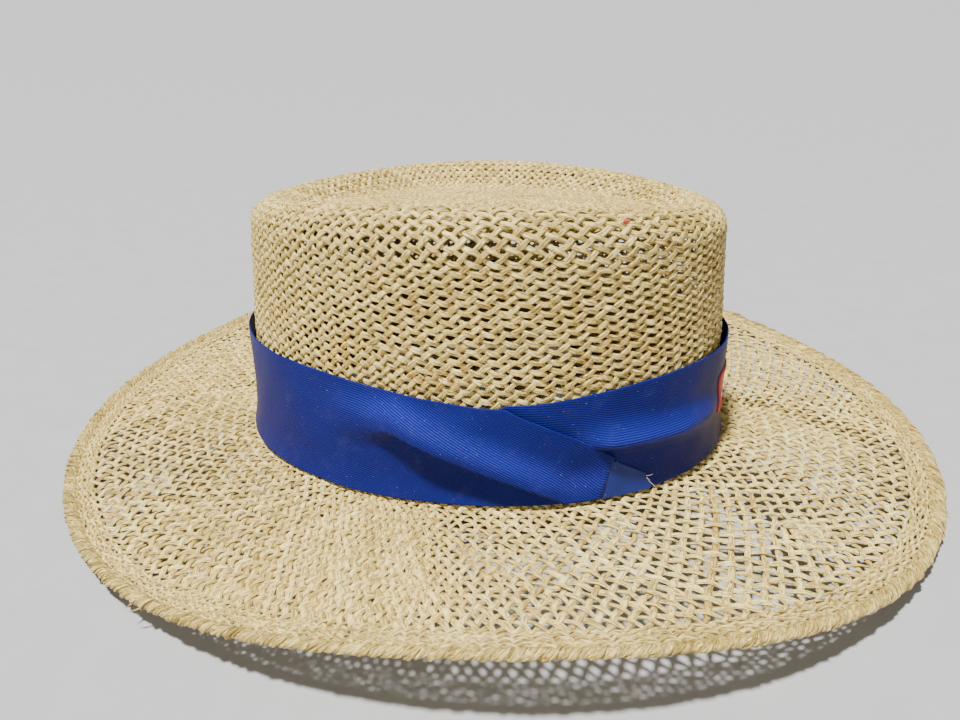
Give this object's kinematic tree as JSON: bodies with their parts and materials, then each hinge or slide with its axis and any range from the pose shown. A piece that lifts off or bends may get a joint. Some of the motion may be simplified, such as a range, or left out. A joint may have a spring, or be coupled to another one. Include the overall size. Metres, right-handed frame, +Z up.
{
  "type": "panama hat",
  "caption": "Open-weave straw sun hat with a telescope crown, a wide brim with a rolled edge, a folded blue ribbon and a leather sweatband.",
  "frame": {"origin": "under the middle of the brim, on the surface that the hat stands on", "axes": "+X towards the wearer's front, along the hat's longest way; +Y towards the wearer's left; +Z up, out of the crown"},
  "size_m": [0.3808, 0.3388, 0.1166],
  "materials": {
    "straw": "open plain weave of split palm straw, dry and slightly glossy along the strand",
    "edge_straw": "overcast straw binding, yellower than the weave",
    "wire": "drawn steel wire",
    "ribbon": "blue polyester twill with a soft satin sheen",
    "thread": "cotton sewing thread",
    "badge": "plain woven badge, red with a white stripe",
    "leather": "thin brown sweatband leather with a fine grain",
    "tab": "blank coated paper tab"
  },
  "bodies": {
    "root": {"crown_tip": "straw", "crown_wall": "straw", "brim": "straw", "brim_border": "straw", "rolled_edge": "edge_straw", "edge_wire": "wire", "ribbon_wrap": "ribbon", "ribbon_lap": "ribbon", "ribbon_tail": "ribbon", "ribbon_tacks": "thread", "front_badge": "badge", "sweatband": "leather", "sweatband_reed": "leather", "sweatband_stitches": "thread", "sweatband_seam": "thread", "sweatband_bow": "ribbon", "size_tab": "tab"}
  },
  "joints": []
}
